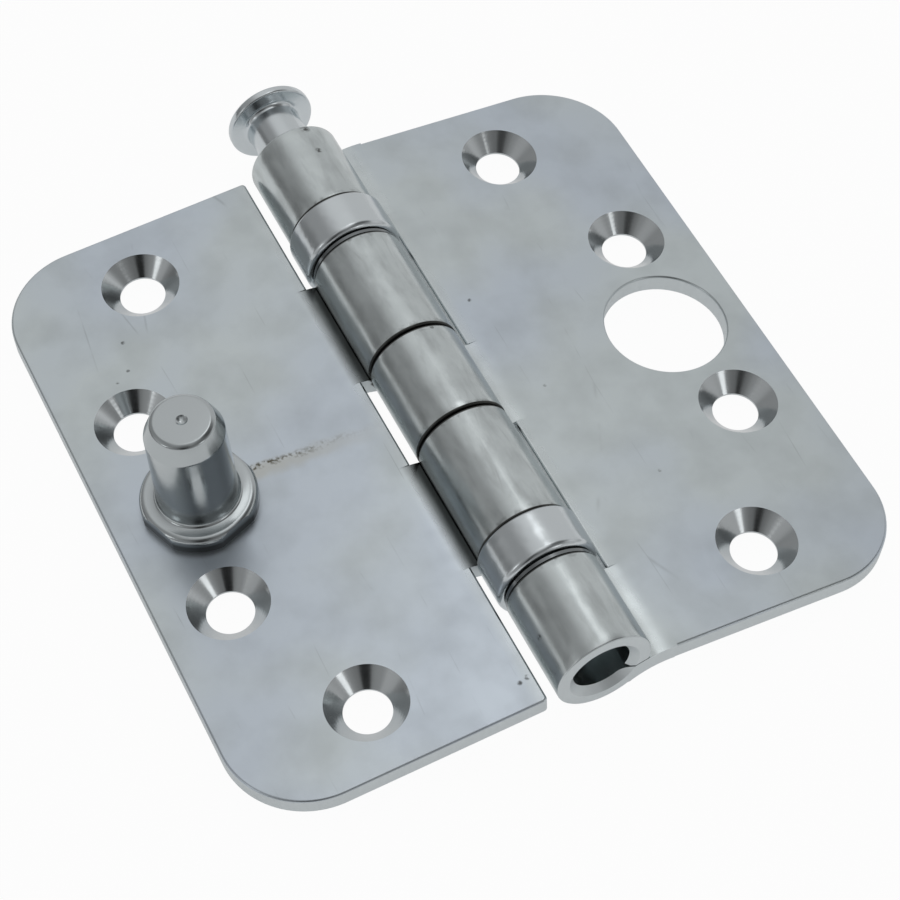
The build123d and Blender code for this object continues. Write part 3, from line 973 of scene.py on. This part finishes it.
def turned_stud(s):
    """Plated steel bar, turned."""
    # A soft mirror with faint cloudy bands round it from the tool, and painted shade round the collar's
    # foot.
    material, tree, place = new_material("Zinc plated steel, turned stud")
    c = colours()
    upwards = DOOR_SIDE.to_3x3() @ Vector((0, 0, 1))
    foot = DOOR_SIDE @ Vector((s.stud_x * MM, 0, s.leaf_top * MM))
    from_foot = add_node(tree, "VectorMath", {0: place, 1: foot}, operation="SUBTRACT")
    height = add_node(tree, "VectorMath", {0: from_foot, 1: upwards}, operation="DOT_PRODUCT")
    # Painted shade: darker towards the leaf, over the collar's side and round its foot
    low = add_node(tree, "MapRange", {0: height, 1: 1.3 * s.collar_rim * MM, 2: 0.9 * MM, 4: 0.85})
    # The painted shade leaves out the tail, as its flush end shows at the back of the leaf.
    above = add_node(tree, "Math", {0: height, 1: -s.sheet / 2 * MM}, operation="GREATER_THAN")
    low = add_node(tree, "Math", {0: low, 1: above}, operation="MULTIPLY")
    tint = add_node(tree, "Mix", {0: low, 6: c.stud, 7: c.grime_and_shade}, data_type="RGBA")
    bands = add_node(tree, "Mapping", {"Vector": place, "Scale": (0.4, 0.4, 1)})
    cloud = add_node(tree, "TexNoise", {"Vector": bands, "Scale": per_metre(1.6), "Detail": 4.0})
    rough = add_node(tree, "MapRange", {0: cloud, 3: 0.12, 4: 0.26})
    bump = add_node(tree, "Bump", {"Height": cloud, "Distance": 0.008 * MM, "Strength": 1.0})
    return bare_metal(material, tree, tint, rough, bump)


def drawn_pin():
    """Plated bright drawn steel bar, its head upset."""
    # Smooth and bright, with faint lines along it.
    material, tree, place = new_material("Zinc plated steel, drawn pin")
    along = add_node(tree, "Mapping", {"Vector": place, "Scale": (1, 0.1, 1)})
    lines = add_node(tree, "TexNoise", {"Vector": along, "Scale": per_metre(0.8), "Detail": 3.0})
    rough = add_node(tree, "MapRange", {0: lines, 3: 0.12, 4: 0.26})
    bump = add_node(tree, "Bump", {"Height": lines, "Distance": 0.004 * MM, "Strength": 1.0})
    return bare_metal(material, tree, colours().drawn, rough, bump)


def drawn_shell():
    """Plated sheet steel, drawn to a cup."""
    # The brightest of the metals, with soft dents where it was pressed, and painted shade at its closed end,
    # where it meets the knuckle.
    material, tree, place = new_material("Zinc plated steel, drawn shell")
    c = colours()
    near_joint = add_node(tree, "Attribute", attribute_name="joint_end").outputs["Fac"]
    # Painted shade at the closed end, next to the knuckle
    joint_shade = add_node(tree, "MapRange", {0: near_joint, 1: 0.25, 2: 0.65, 4: 0.92})
    tint = add_node(tree, "Mix", {0: joint_shade, 6: c.drawn, 7: c.grime_and_shade}, data_type="RGBA")
    dents = add_node(tree, "TexNoise", {"Vector": place, "Scale": per_metre(3.5), "Detail": 2.0})
    rough = add_node(tree, "MapRange", {0: dents, 3: 0.14, 4: 0.26})
    bump = add_node(tree, "Bump", {"Height": dents, "Distance": 0.1 * MM, "Strength": 1.0})
    return bare_metal(material, tree, tint, rough, bump)


def ground_steel():
    """Hardened steel of the races and balls, ground."""
    # Smooth, and a little darker than zinc.
    material, tree, place = new_material("Hardened steel, ground")
    grind = add_node(tree, "TexNoise", {"Vector": place, "Scale": per_metre(0.6), "Detail": 3.0})
    rough = add_node(tree, "MapRange", {0: grind, 3: 0.14, 4: 0.24})
    return bare_metal(material, tree, colours().ground, rough)


# Stage

CAMERA_PLACE = Vector((-87.98, -177.67, 263.64)) * MM
CAMERA_TARGET = Vector((-2.28, -12.66, 6.75)) * MM
CAMERA_ROLL = math.radians(1.57)
CAMERA_LENS = 102.04
SENSOR = 36.0
FLOOR_SIZE = 1.6
# How much of the floor is plain white to the camera, and in mirrors
FLOOR_SEEN = 0.96
FLOOR_MIRRORED = 0.5
# Shades of the studio: a direction, the cosines from it between which the shade sets in, and its two levels
SHADES = (
    ((0.55, 0.55, 0.63), 0.4, 0.82, 0.33, 0.62),
    ((0.05, 0.5, 0.86), 0.85, 0.985, 1.0, 1.12),
    ((-0.1, -0.15, 0.98), 0.86, 0.97, 1.0, 1.6),
    ((0.7, -0.6, 0.3), 0.8, 0.95, 1.0, 1.6),
    ((-0.95, 0.1, 0.3), 0.86, 0.97, 1.0, 1.4),
    ((-0.28, -0.66, 0.7), 0.82, 0.97, 1.0, 0.6),
    ((0.5, -0.45, 0.74), 0.85, 0.97, 1.0, 0.5),
    ((-0.41, -0.78, 0.47), 0.967, 0.99, 1.0, 0.08),
    ((-0.86, 0.51, 0.0), 0.9, 0.985, 1.0, 0.58),
    ((0.6, -0.05, 0.8), 0.9, 0.985, 1.0, 0.3),
    ((-0.3, -0.57, 0.77), 0.966, 0.99, 1.0, 0.35),
)
# Lamps: a name, the direction from the hinge, the distance and size in metres, and the brightness
LAMPS = (
    ("Overhead", (0.25, 0.33, 0.91), 1.0, 0.28, 0.77),
    ("Front left", (-0.88, -0.13, 0.45), 0.9, 0.2, 1.0),
    ("Front right", (0.4, -0.8, 0.45), 0.9, 0.2, 1.0),
)


def camera():
    """The camera at the photograph's angle."""
    data = bpy.data.cameras.new("Camera")
    data.lens = CAMERA_LENS
    data.sensor_width = SENSOR
    data.sensor_fit = "HORIZONTAL"
    data.clip_start = 0.01
    obj = bpy.data.objects.new("Camera", data)
    look = (CAMERA_TARGET - CAMERA_PLACE).to_track_quat("-Z", "Y").to_matrix().to_4x4()
    obj.matrix_world = Matrix.Translation(CAMERA_PLACE) @ look @ Matrix.Rotation(CAMERA_ROLL, 4, "Z")
    bpy.context.scene.collection.objects.link(obj)
    bpy.context.scene.camera = obj


def floor():
    """A plain white floor that keeps a faint shadow."""
    bm = bmesh.new()
    place = Matrix.Translation((0, 0, cad_box[0][2]))
    bmesh.ops.create_grid(bm, x_segments=1, y_segments=1, size=FLOOR_SIZE, matrix=place)
    obj = solid("floor", bm)
    material, tree, _ = new_material("White floor")
    path = add_node(tree, "LightPath")
    seen = add_node(tree, "Math", {0: path.outputs["Is Camera Ray"], 1: FLOOR_SEEN}, operation="MULTIPLY")
    mirrored = add_node(
        tree, "Math",
        {0: path.outputs["Is Glossy Ray"], 1: path.outputs["Is Transmission Ray"]}, operation="MAXIMUM",
    )
    mirrored = add_node(tree, "Math", {0: mirrored, 1: FLOOR_MIRRORED}, operation="MULTIPLY")
    share = add_node(tree, "Math", {0: seen, 1: mirrored}, operation="MAXIMUM")
    paint = add_node(tree, "BsdfDiffuse", {"Color": hex_colour("#F6F6F6")})
    white = add_node(tree, "Emission", {"Color": hex_colour("#FFFFFF"), "Strength": 1.0})
    mixed = add_node(tree, "MixShader", {0: share, 1: paint, 2: white})
    add_node(tree, "OutputMaterial", {"Surface": mixed})
    obj.data.materials.append(material)


def studio():
    """Soft light all round: bright above and behind, dim in front, darkest by the camera."""
    world = bpy.data.worlds.new("Studio")
    bpy.context.scene.world = world
    world.use_nodes = True
    tree = world.node_tree
    tree.nodes.clear()
    direction = add_node(tree, "TexCoord").outputs["Generated"]
    level = 1.0
    for towards, start, end, low, high in SHADES:
        axis = Vector(towards).normalized()
        facing = add_node(tree, "VectorMath", {0: direction, 1: axis}, operation="DOT_PRODUCT")
        share = add_node(
            tree, "MapRange", {0: facing, 1: start, 2: end, 3: low, 4: high},
            interpolation_type="SMOOTHSTEP",
        )
        level = add_node(tree, "Math", {0: level, 1: share}, operation="MULTIPLY")
    seen = add_node(tree, "LightPath").outputs["Is Camera Ray"]
    strength = add_node(tree, "Mix", {0: seen, 2: level, 3: 1.0})
    sky = add_node(tree, "Background", {"Color": hex_colour("#FCFCFC"), "Strength": strength})
    add_node(tree, "OutputWorld", {"Surface": sky})


def lamp(name, direction, distance, size, radiance):
    """A square soft lamp that faces the hinge, as bright to the eye as asked."""
    data = bpy.data.lights.new(name, "AREA")
    data.shape = "SQUARE"
    data.size = size
    data.energy = radiance * math.pi * size**2
    obj = bpy.data.objects.new(name, data)
    place = AXIS + Vector(direction).normalized() * distance
    look = (AXIS - place).to_track_quat("-Z", "Y").to_matrix().to_4x4()
    obj.matrix_world = Matrix.Translation(place) @ look
    bpy.context.scene.collection.objects.link(obj)


class HINGE_OT_stage(bpy.types.Operator):
    """Set up the floor, the light and the camera"""

    bl_idname = "hinge.stage"
    bl_label = "Stage"

    def execute(self, context):
        context.scene.view_settings.view_transform = "Standard"
        floor()
        studio()
        for settings in LAMPS:
            lamp(*settings)
        camera()
        return {"FINISHED"}


# The add-on's sidebar panel, its classes and its run as a script

class HINGE_PT_sidebar(bpy.types.Panel):
    """The hinge's pieces, sizes and colours"""

    bl_idname = "HINGE_PT_sidebar"
    bl_label = "Ball Bearing Hinge"
    bl_space_type = "VIEW_3D"
    bl_region_type = "UI"
    bl_category = "Hinge"

    def draw(self, context):
        layout = self.layout
        for operator in OPERATORS:
            layout.operator(operator.bl_idname)
        for heading, group, kind in (
            ("Sizes", context.scene.hinge_sizes, HingeSizes),
            ("Colours", context.scene.hinge_colours, HingeColours),
        ):
            box = layout.box()
            box.label(text=heading)
            for name in kind.__annotations__:
                box.prop(group, name)


OPERATORS = (HINGE_OT_leaves, HINGE_OT_stud, HINGE_OT_pin, HINGE_OT_bearings, HINGE_OT_stage)
CLASSES = (HingeSizes, HingeColours, *OPERATORS, HINGE_PT_sidebar)


def register():
    for cls in CLASSES:
        bpy.utils.register_class(cls)
    bpy.types.Scene.hinge_sizes = PointerProperty(type=HingeSizes)
    bpy.types.Scene.hinge_colours = PointerProperty(type=HingeColours)


def unregister():
    del bpy.types.Scene.hinge_colours
    del bpy.types.Scene.hinge_sizes
    for cls in reversed(CLASSES):
        bpy.utils.unregister_class(cls)


def main():
    register()
    bpy.ops.hinge.leaves()
    bpy.ops.hinge.stud()
    bpy.ops.hinge.pin()
    bpy.ops.hinge.bearings()
    bpy.ops.hinge.stage()


if __name__ == "__main__":
    main()
